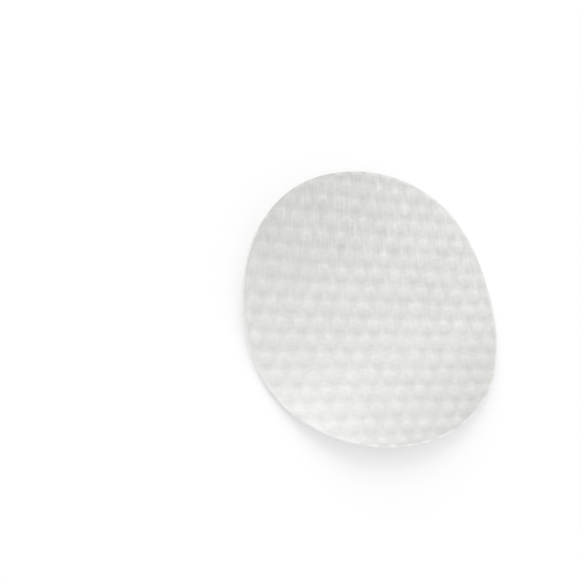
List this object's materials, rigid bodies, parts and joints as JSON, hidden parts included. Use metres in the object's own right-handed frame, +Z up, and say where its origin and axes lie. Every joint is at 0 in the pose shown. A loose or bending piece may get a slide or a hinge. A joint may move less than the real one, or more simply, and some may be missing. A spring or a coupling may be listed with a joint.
{
  "type": "round cotton pad",
  "caption": "Thin round white cotton pad, embossed all over with raised dots in staggered rows, lying face up with its edge curled gently off the table at the front and at the back left.",
  "frame": {"origin": "on the table, below the middle of the pad's outline", "axes": "+Z up, out of the embossed face; the rows of dots run along X and the fibres mostly along Y; one curl is at the front, towards -Y and a little +X, and the other at the back left, towards -X and +Y"},
  "size_m": [0.0568, 0.0566, 0.0052],
  "materials": {
    "white_cotton_nonwoven": "matte"
  },
  "bodies": {
    "root": {"cotton_pad": "white_cotton_nonwoven"}
  },
  "joints": []
}
